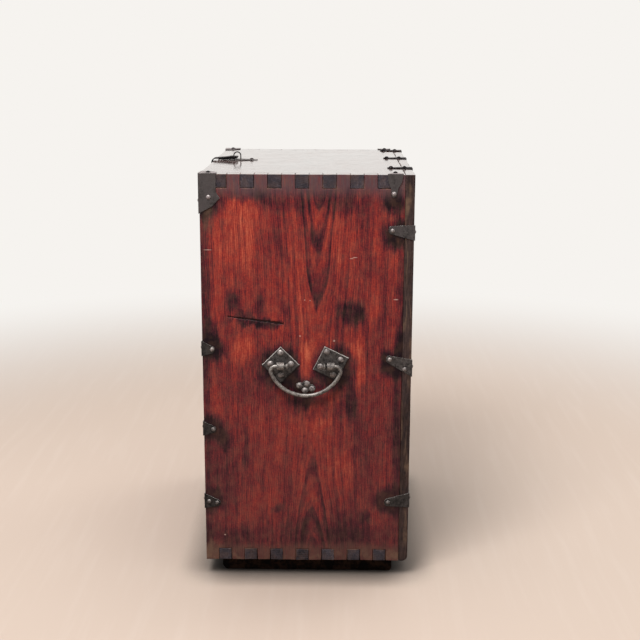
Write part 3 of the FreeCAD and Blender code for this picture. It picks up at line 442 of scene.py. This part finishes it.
def woodFinish(name, look):
    made, tree, shader = newFinish(name, IOR=1.5, Coat_Weight=look["coat"], Coat_Roughness=look["coatRough"],
                                   Coat_IOR=look.get("coatIndex", 1.5), Specular_IOR_Level=look["specular"])
    place = addNode(tree, "ShaderNodeTexCoord").outputs["Object"]
    parts = addNode(tree, "ShaderNodeSeparateXYZ", Vector=place).outputs
    grain, cross, inward = look["axes"]

    def stretched(layer):
        # the place squeezed so that a cloud runs with the grain
        alongScale, crossScale = grainScales[layer]
        factors = [crossScale] * 3
        factors[grain] = alongScale
        return scaled(tree, place, factors, look["shift"])

    # growth rings cut by the saw: distance from a pith that comes nearer towards the board's ends
    sway = swing(tree, cloud(tree, stretched("sway"), 1, 2), 0.034)
    ripple = swing(tree, cloud(tree, stretched("ripple"), 1, 2), 0.007)
    across = total(tree, calc(tree, "SUBTRACT", parts[cross], look["ringCentre"]), sway)
    run = calc(tree, "SUBTRACT", parts[grain], look["ringMid"])
    bowed = calc(tree, "MULTIPLY", calc(tree, "MULTIPLY", run, run), look["bow"])
    deep = calc(tree, "ABSOLUTE", calc(tree, "SUBTRACT", parts[inward], look["face"]))
    lift = total(tree, calc(tree, "SUBTRACT", look["pith"], bowed), deep,
                 swing(tree, cloud(tree, stretched("lean"), 1, 1), 0.012))
    squares = calc(tree, "MULTIPLY_ADD", across, across, calc(tree, "MULTIPLY", lift, lift))
    radius = calc(tree, "SQRT", squares)
    phase = calc(tree, "DIVIDE", calc(tree, "ADD", radius, ripple), look["ringStep"])
    part = calc(tree, "FRACT", phase)
    late = calc(tree, "MULTIPLY", fade(tree, part, 0.25, 0.82), fade(tree, part, 1.0, 0.88))
    ringPick = addNode(tree, "ShaderNodeTexWhiteNoise", {"noise_dimensions": "1D"},
                       W=calc(tree, "FLOOR", phase)).outputs["Value"]
    rings = calc(tree, "MULTIPLY", late, calc(tree, "MULTIPLY_ADD", ringPick, 0.75, 0.3))
    # strong only where the saw ran along the rings, and there in patches
    flat = fade(tree, calc(tree, "ABSOLUTE", across), 0.075, 0.02, 0.28, 1.0)
    patchy = fade(tree, cloud(tree, stretched("patches"), 1, 2), 0.3, 0.62, 0.35, 1.0)
    rings = calc(tree, "MULTIPLY", rings, calc(tree, "MULTIPLY", flat, patchy))

    fibre = cloud(tree, stretched("fibre"), 1, 2, 0.6, 0.4)
    thread = cloud(tree, stretched("thread"), 1, 3, 0.65, 0.6)
    fine = calc(tree, "FRACT", calc(tree, "MULTIPLY_ADD", phase, 2.7, thread))
    fine = calc(tree, "MULTIPLY", fade(tree, fine, 0.2, 0.8), fade(tree, fine, 1.0, 0.85))
    streak = cloud(tree, stretched("streak"), 1, 3, 0.6, 0.3)
    blotch = cloud(tree, stretched("blotch"), 1, 3, 0.55)
    pores = fade(tree, cloud(tree, stretched("pores"), 1, 1), 0.62, 0.76)
    grit = cloud(tree, place, 330, 3, 0.6)

    # listed marks, scuffs and flecks; the first two have ragged edges
    ragged = addNode(tree, "ShaderNodeTexNoise", Vector=stretched("ragged"), Scale=1.0, Detail=3.0)
    middling = scaled(tree, place, (1, 1, 1), (-0.015, -0.015, -0.025))
    smeared = scaled(tree, ragged.outputs["Color"], (0.03, 0.03, 0.05), middling)

    def markAt(where, here, above, halfWide, halfHigh):
        factors, shift = [0, 0, 0], [0, 0, 0]
        for axis, middle, half in zip(look["markAxes"], (here, above), (halfWide, halfHigh)):
            factors[axis], shift[axis] = 1000 / half, -middle / half
        return distance(tree, scaled(tree, where, factors, shift))

    allMarks = 0.0
    for *mark, amount in look["marks"]:
        oneMark = fade(tree, markAt(smeared, *mark), 1.25, 0.35, 0.0, amount)
        allMarks = calc(tree, "ADD", allMarks, oneMark)

    tone = total(tree, look["tone"], swing(tree, streak, grainTones["streak"]),
                 swing(tree, blotch, grainTones["blotch"]), swing(tree, fibre, grainTones["fibre"]),
                 swing(tree, thread, grainTones["thread"]), calc(tree, "MULTIPLY", rings, -look["ringDark"]),
                 calc(tree, "MULTIPLY", fine, grainTones["fine"]),
                 calc(tree, "MULTIPLY", pores, grainTones["pores"]),
                 swing(tree, grit, grainTones["grit"]), allMarks)
    colour = shades(tree, tone, look["shades"])

    def damaged(colour, where, kind):
        shade, strength = damageLook[kind]
        return tint(tree, calc(tree, "MULTIPLY", where, strength), colour, srgb(*shade))

    # small black pits and pale scratches along the grain
    pits = addNode(tree, "ShaderNodeTexVoronoi", Vector=place, Scale=26.0)
    chosen = addNode(tree, "ShaderNodeSeparateXYZ", Vector=pits.outputs["Color"]).outputs["X"]
    hole = fade(tree, pits.outputs["Distance"], 0.07, 0.03)
    pit = calc(tree, "MULTIPLY", hole, fade(tree, chosen, 0.55, 0.6))
    colour = damaged(colour, pit, "pit")
    dashes = fade(tree, cloud(tree, stretched("dashes"), 1, 1), 0.68, 0.78)
    scratch = calc(tree, "MULTIPLY", dashes, fade(tree, cloud(tree, place, 11, 2), 0.52, 0.68))
    colour = damaged(colour, scratch, "scratch")
    for mark in look.get("flecks", []):
        colour = damaged(colour, fade(tree, markAt(place, *mark), 1.2, 0.5), "fleck")
    for low, high, shade, amount in look.get("grime", []):
        reach = calc(tree, "MULTIPLY_ADD", blotch, 0.03, calc(tree, "SUBTRACT", parts["Z"], 0.015))
        film = calc(tree, "MULTIPLY", fade(tree, reach, low, high, 0.0, amount),
                    fade(tree, fibre, 0.25, 0.6, 0.5, 1.0))
        colour = tint(tree, film, colour, srgb(*shade))
    for *mark, amount in look.get("scuffs", []):
        rubbed = calc(tree, "MULTIPLY", fade(tree, markAt(smeared, *mark), 1.2, 0.5, 0.0, amount),
                      fade(tree, cloud(tree, place, 70, 3, 0.65), 0.35, 0.65, 0.3, 1.0))
        colour = tint(tree, rubbed, colour, srgb(*scuffShade))

    rough = total(tree, look["rough"], swing(tree, blotch, 0.16), swing(tree, thread, 0.1),
                  calc(tree, "MULTIPLY", scratch, 0.2))
    # the inside was never lacquered
    inside = addNode(tree, "ShaderNodeAttribute", {"attribute_name": "inside"}).outputs["Fac"]
    bareTone = total(tree, 0.5, swing(tree, streak, 0.5), swing(tree, blotch, 0.45), swing(tree, fibre, 0.2),
                     calc(tree, "MULTIPLY", rings, -0.3))
    colour = tint(tree, inside, colour, shades(tree, bareTone, bareShades))
    rough = calc(tree, "MAXIMUM", rough, calc(tree, "MULTIPLY", inside, 0.68))

    # edges rubbed through to pale wood, the upper edges more as a partly painted highlight
    wornAndLit = addNode(tree, "ShaderNodeAttribute", {"attribute_name": "wear"}).outputs["Fac"]
    rubbed = calc(tree, "MULTIPLY", wornAndLit, fade(tree, cloud(tree, place, 60, 3, 0.6), 0.38, 0.66))
    pale = shades(tree, total(tree, 0.5, swing(tree, thread, 0.6), swing(tree, blotch, 0.4)), rubbedShades)
    colour = tint(tree, calc(tree, "MULTIPLY", rubbed, look.get("rub", 0.7)), colour, pale)
    cut = addNode(tree, "ShaderNodeAttribute", {"attribute_name": "scar"}).outputs["Fac"]
    colour = damaged(colour, cut, "scar")
    rough = total(tree, rough, calc(tree, "MULTIPLY", rubbed, 0.2), calc(tree, "MULTIPLY", cut, 0.25))

    height = total(tree, swing(tree, fibre, 0.35), swing(tree, thread, 0.5),
                   calc(tree, "MULTIPLY", rings, 0.45), calc(tree, "MULTIPLY", pores, -0.5),
                   swing(tree, cloud(tree, place, 45, 2), 0.6), calc(tree, "MULTIPLY", pit, -1.5))
    finishShader(tree, shader, colour, rough, height, look.get("bump", 0.3), 0.0005)
    return made


ironLooks = {
    "blackIron": {
        "dark": (60, 55, 55), "mid": (170, 162, 160), "rust": (118, 102, 96), "bright": (190, 186, 182),
        "soot": (14, 13, 13), "dust": 0.85, "soil": 0.4, "wear": 0.0, "metal": 0.4, "rough": 0.5,
        "hammer": 150, "bump": 0.8, "edgeTint": 0.3,
    },
    "darkIron": {
        "dark": (14, 13, 15), "mid": (58, 52, 54), "rust": (62, 49, 47), "bright": (150, 144, 142),
        "soot": (8, 8, 9), "dust": 0.0, "wear": -0.15, "metal": 0.3, "rough": 0.55, "hammer": 150,
        "bump": 0.7, "edgeTint": 0.1, "specular": 0.12,
    },
    "handledIron": {
        "dark": (62, 58, 57), "mid": (144, 138, 134), "rust": (112, 100, 94), "bright": (186, 181, 176),
        "soot": (24, 21, 20), "dust": 0.0, "wear": 0.0, "metal": 0.45, "rough": 0.5, "hammer": 170,
        "bump": 0.6, "edgeTint": 0.4,
    },
}
# the front straps take a darker copy of the black iron
ironLooks["frontStrapIron"] = dict(ironLooks["blackIron"], dark=(42, 38, 38), mid=(122, 115, 113), soil=0.2)
dustShade = (146, 136, 137)


def ironFinish(name, look):
    made, tree, shader = newFinish(name, Specular_Tint=(look["edgeTint"],) * 3 + (1.0,),
                                   Specular_IOR_Level=look.get("specular", 0.5))
    place = addNode(tree, "ShaderNodeTexCoord").outputs["Object"]
    blows = cloud(tree, place, look["hammer"], 2, 0.5)
    scale = cloud(tree, place, 620, 3, 0.65)
    patch = cloud(tree, place, 36, 3, 0.6)
    tone = total(tree, 0.5, swing(tree, scale, 1.1), swing(tree, blows, 0.7), swing(tree, patch, 0.5))
    colour = shades(tree, tone, [(0.27, look["dark"]), (0.75, look["mid"])])
    colour = tint(tree, fade(tree, patch, 0.55, 0.72, 0.0, 0.65), colour, srgb(*look["rust"]))
    # dust lies on the upper irons; the lowest irons are made darker towards the floor
    high = addNode(tree, "ShaderNodeSeparateXYZ", Vector=place).outputs["Z"]
    dusty = fade(tree, high, 0.5, 0.72, 0.0, look["dust"])
    film = calc(tree, "MULTIPLY", dusty, fade(tree, patch, 0.25, 0.6))
    colour = tint(tree, film, colour, srgb(*dustShade))
    lowDarkened = fade(tree, high, 0.42, 0.2, 0.0, look.get("soil", 0.0))
    colour = tint(tree, lowDarkened, colour, srgb(*look["soot"]))
    # above 0 the piece is rubbed bright, and on the domes, bails and upper edges this is partly a painted
    # highlight; below 0 it gets painted shade, dark
    wornAndLit = addNode(tree, "ShaderNodeAttribute", {"attribute_name": "wear"}).outputs["Fac"]
    colour = tint(tree, fade(tree, wornAndLit, -0.05, -0.7), colour, srgb(*look["soot"]))
    uneven = total(tree, wornAndLit, look["wear"], swing(tree, patch, 0.5), swing(tree, scale, 0.35))
    rub = fade(tree, uneven, 0.3, 0.85)
    colour = tint(tree, rub, colour, srgb(*look["bright"]))
    rough = total(tree, look["rough"], swing(tree, scale, 0.22), calc(tree, "MULTIPLY", rub, -0.14))
    height = total(tree, swing(tree, blows, 1.0), swing(tree, scale, 0.3))
    finishShader(tree, shader, colour, rough, height, look["bump"], 0.0006,
                 calc(tree, "MULTIPLY_ADD", rub, 0.25, look["metal"]))
    return made


finishes = {name: woodFinish(name, look) for name, look in woodLooks.items()}
finishes.update({name: ironFinish(name, look) for name, look in ironLooks.items()})
print("finishes mixed:", ", ".join(finishes))

# which finish each piece takes
woodPieces = {
    "right_end_panel": "rightEndLacquer", "left_end_panel": "leftEndLacquer",
    "door_panel": "doorLacquer", "lower_front_panel": "frontLacquer",
    "top_board": "topLacquer", "bottom_board": "bottomLacquer",
    "left_back_board": "leftBackStain", "middle_back_board": "middleBackStain",
    "right_back_board": "rightBackStain",
    "door_rest_rail": "bareWood", "right_door_stop": "bareWood", "left_door_stop": "bareWood",
    "right_foot_runner": "footPaintedShade", "left_foot_runner": "footPaintedShade",
}
fingerFinish = {"top_board": "fingerEnds", "bottom_board": "lowFingerEnds"}
handledPieces = ("bail", "eye", "pull")
roundPieces = ("nails", "studs", "staple", "pin")
topPieces = ("hasp", "hasp_ring_staple", "hasp_backplate", "top_rear_straps", "top_nails")

# ageing of the solids, in metres: eased edges, blows and hollows that only go inwards
ageLooks = {
    "board": {
        "flat": 1.0, "ease": 0.0012, "steps": 2, "grid": 0.014, "waver": 0.0004, "waverScale": 22,
        "hammer": 0.0001, "hammerScale": 90, "edgeLoss": 0.0009, "lossScale": 38, "lowEdge": 0.45,
        "spread": 0.35,
    },
    "sheet": {
        "flat": 0.5, "ease": 0.0008, "steps": 2, "grid": 0.004, "waver": 0.0002, "waverScale": 60,
        "hammer": 0.00022, "hammerScale": 190, "edgeLoss": 0.0004, "lossScale": 120, "lowEdge": -0.9,
        "spread": 0.55,
    },
    "forged": {
        "flat": 0.0, "grid": 0.0, "waver": 0.0003, "waverScale": 70, "hammer": 0.0003, "hammerScale": 260,
        "edgeLoss": 0.0, "lossScale": 1,
    },
    "bail": {
        "flat": 0.0, "grid": 0.0, "waver": 0.0003, "waverScale": 60, "hammer": 0.0003, "hammerScale": 200,
        "edgeLoss": 0.0, "lossScale": 1, "taper": 0.0002,
    },
}
sharpAngle = 38  # degrees; edges above it stay crisp in shading
floorBruise = {"below": 0.037, "times": 6.0}  # edges near the floor lose more
# painted light on the nails' heads and on the rings and bails that are handled: a painted highlight where
# they face up, painted shade below
nailLook = {"head": 0.0042, "middle": 0.08, "upward": 0.7, "least": -0.3, "most": 0.45}
bailLook = {"middle": 0.34, "upward": 0.25, "backward": -0.1, "under": 0.9, "underFrom": 0.2, "eyes": -0.2}
jointOutline = {"beyond": 0.277, "over": 0.4}  # finger edges at the ends, and the wear that counts as an edge
cornerShine = 0.25  # legs of the corner irons that lie on the top, set lighter
# the scar on the end nearest the camera: its two ends, half width and depth, and the fine grid cut for it
scarLook = {
    "from": (-0.150, 0.527), "to": (-0.047, 0.514), "half": 0.0042, "deep": 0.0018, "outside": 0.279,
    "gridUp": (0.504, 0.0011, 32), "gridAcross": (-0.158, 0.0022, 54),
}
# where a board faces the inside: axis, side it faces, level
insideFaces = {
    "right_end_panel": (0, -1, 0.256), "left_end_panel": (0, 1, -0.256),
    "top_board": (2, -1, 0.771), "bottom_board": (2, 1, 0.054),
    "door_panel": (1, 1, -0.1785), "lower_front_panel": (1, 1, -0.178),
    "left_back_board": (1, -1, 0.182), "middle_back_board": (1, -1, 0.182),
    "right_back_board": (1, -1, 0.182),
}
insideSpan = {"side": 0.257, "low": 0.05, "high": 0.775}


def sliceGrid(shape, axis, cuts):
    # cuts every face across one axis, so that later moves have points to act on
    facing, geometry = Vector(), shape.verts[:] + shape.edges[:] + shape.faces[:]
    facing[axis] = 1
    for cut in cuts:
        geometry = bmesh.ops.bisect_plane(shape, geom=geometry, dist=2e-5, plane_co=facing * cut,
                                          plane_no=facing)["geom"]


def easeEdges(shape, wear, look):
    crisp = [e for e in shape.edges if len(e.link_faces) == 2 and e.is_convex and e.calc_face_angle(0) > 0.6]
    if not crisp:
        return
    made = bmesh.ops.bevel(shape, geom=crisp, offset=look["ease"], segments=look["steps"], profile=0.6,
                           affect="EDGES", clamp_overlap=True)
    eased = set(made["faces"])
    shape.normal_update()
    for face in made["faces"]:
        for point in face.verts:
            crest = 1.0 if all(f in eased for f in point.link_faces) else look["spread"]
            # upper edges are rubbed most, partly a painted highlight as if lit from above; below 0 lowEdge
            # paints a dark line of shade on the lower edges
            point[wear] = crest * (1.0 if point.normal.z > 0.2 else look["lowEdge"])


def islandsOf(shape):
    # the points of each separate solid in the mesh
    left = set(shape.verts)
    while left:
        island, edge = set(), [left.pop()]
        while edge:
            point = edge.pop()
            island.add(point)
            for link in point.link_edges:
                other = link.other_vert(point)
                if other in left:
                    left.discard(other)
                    edge.append(other)
        yield island


def crownNails(shape, wear):
    # the upper side of each nail's dome gets a painted highlight and the lower side painted shade
    for island in islandsOf(shape):
        spans = [(max(p.co[i] for p in island) - min(p.co[i] for p in island), i) for i in range(3)]
        axis = max(spans)[1]
        low, high = min(p.co[axis] for p in island), max(p.co[axis] for p in island)
        middle = (low + high) / 2
        headHigh = sum(1 if p.co[axis] > middle else -1 for p in island) > 0
        for point in island:
            under = high - point.co[axis] if headHigh else point.co[axis] - low
            shine = nailLook["middle"] + nailLook["upward"] * point.normal.z
            shine = max(nailLook["least"], min(nailLook["most"], shine))
            point[wear] = shine if under < nailLook["head"] else 0.0


def paintBailLight(shape, wear, extra):
    # bails and eyes get a painted highlight where they face up and to the front, partly their rubbing by
    # hands, and painted shade below
    for point in shape.verts:
        facing = point.normal
        shine = bailLook["middle"] + bailLook["upward"] * facing.z + bailLook["backward"] * facing.y
        shine -= bailLook["under"] * max(0, -facing.z - bailLook["underFrom"])
        point[wear] = shine + extra


def markWearAndLight(name, shape, wear):
    if name.endswith(("nails", "studs")):
        crownNails(shape, wear)
    if name.endswith(("bail", "eye", "eyes")):
        paintBailLight(shape, wear, 0.0 if name.endswith("bail") else bailLook["eyes"])
    for point in shape.verts:
        edge = point[wear] > jointOutline["over"] and abs(point.co.x) > jointOutline["beyond"]
        if name in fingerFinish and edge:
            point[wear] = 1.0  # the joints' outlines show pale
        if "corner" in name and point.normal.z > 0.9:
            point[wear] = cornerShine


def markInside(name, shape):
    axis, side, level = insideFaces[name]
    within = shape.faces.layers.float.new("inside")
    for face in shape.faces:
        middle = face.calc_center_median()
        clear = abs(middle.x) < insideSpan["side"] and insideSpan["low"] < middle.z < insideSpan["high"]
        facing = face.normal[axis] * side > 0.9 and abs(middle[axis] - level) < 0.001
        face[within] = float(facing and clear)


def scarLoss(point):
    (y0, z0), (y1, z1) = scarLook["from"], scarLook["to"]
    share = (point.y - y0) / (y1 - y0)
    if not -0.03 < share < 1.03:
        return 0.0
    jag = 0.0018 * noise.noise(Vector((point.y * 130, 3, 0)))
    fray = 0.0016 * noise.noise(Vector((point.y * 420, point.z * 420, 5)))
    off = abs(point.z - (z0 + (z1 - z0) * share + jag)) + fray
    half = scarLook["half"] * (0.7 + 0.9 * noise.noise(Vector((point.y * 60, 9, 0)))) * (0.45 + 0.55 * share)
    return scarLook["deep"] * max(0.0, 1 - (max(off, 0) / max(half, 0.0009)) ** 2)


def wearAway(name, shape, look, wear, scar, low, high):
    # every point goes straight in by its share of blows, bruises and the scar
    moves = []
    for point in shape.verts:
        here = point.co
        loss = look["waver"] * (0.5 + 0.5 * noise.noise(here * look["waverScale"]))
        loss += look["hammer"] * (0.5 + 0.5 * noise.noise(here * look["hammerScale"]))
        bruise = look["edgeLoss"] * (floorBruise["times"] if here.z < floorBruise["below"] else 1.0)
        loss += max(0, point[wear]) * bruise * max(0, noise.noise(here * look["lossScale"]) + 0.2)
        loss += look.get("taper", 0.0) * (here.z - low.z) / (high.z - low.z)
        if name == "right_end_panel" and here.x > scarLook["outside"]:
            cut = scarLoss(here)
            point[scar] = min(1.0, 1.4 * cut / scarLook["deep"])
            loss += cut
        moves.append(-loss * point.normal)
    for point, move in zip(shape.verts, moves):
        point.co += move


def coatFaces(name, data, finish):
    data.materials.append(finishes[finish])
    if name.endswith(("end_panel", "back_board")):
        # its upper end lies in the top and is polished with it
        data.materials.append(finishes["topLacquer"])
        for face in data.polygons:
            face.material_index = int(face.normal.z > 0.9 and face.center.z > 0.79)
    if name in fingerFinish:
        data.materials.append(finishes[fingerFinish[name]])
        for face in data.polygons:
            face.material_index = int(abs(face.normal.x) > 0.5 and abs(face.center.x) > 0.27)


def ageNode(name, kind, finish):
    look = ageLooks[kind]
    shape = bmesh.new()
    shape.from_mesh(nodes[name].data)
    wear = shape.verts.layers.float.new("wear")
    scar = shape.verts.layers.float.new("scar")
    bmesh.ops.remove_doubles(shape, verts=shape.verts[:], dist=2e-6)
    if look["flat"]:
        bmesh.ops.dissolve_limit(shape, angle_limit=math.radians(look["flat"]), verts=shape.verts[:],
                                 edges=shape.edges[:])
        easeEdges(shape, wear, look)
    low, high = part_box(name)
    if look["grid"]:
        for axis in range(3):
            span = high[axis] - low[axis]
            count = int(span / look["grid"])
            sliceGrid(shape, axis, [low[axis] + span * k / count for k in range(1, count)])
    if name == "right_end_panel":
        for axis, (first, step, count) in ((2, scarLook["gridUp"]), (1, scarLook["gridAcross"])):
            sliceGrid(shape, axis, [first + step * k for k in range(count)])
    shape.normal_update()
    markWearAndLight(name, shape, wear)
    if name in insideFaces:
        markInside(name, shape)
    wearAway(name, shape, look, wear, scar, low, high)
    data = bpy.data.meshes.new(name + "_worn")
    shape.to_mesh(data)
    shape.free()
    data.shade_smooth()
    data.set_sharp_from_angle(angle=math.radians(sharpAngle))
    coatFaces(name, data, finish)
    piece = bpy.data.objects.new(name + "_worn", data)
    scene.collection.objects.link(piece)
    if look["flat"]:
        piece.modifiers.new("flatFaces", "WEIGHTED_NORMAL").keep_sharp = True
    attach(piece, nodes[name]["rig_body"])
    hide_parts(name)


def ironKind(name):
    # how an iron piece is aged and which finish it takes
    handled = any(word in name for word in handledPieces)
    rounded = handled or any(word in name for word in roundPieces)
    kind = "bail" if name.endswith("_bail") else "forged" if rounded else "sheet"
    if handled:
        return kind, "handledIron"
    if name in topPieces:
        return kind, "darkIron"
    return kind, "frontStrapIron" if name.endswith("front_straps") else "blackIron"


for name in sorted(nodes):
    if name in woodPieces:
        ageNode(name, "board", woodPieces[name])
    else:
        ageNode(name, *ironKind(name))
print("pieces aged")
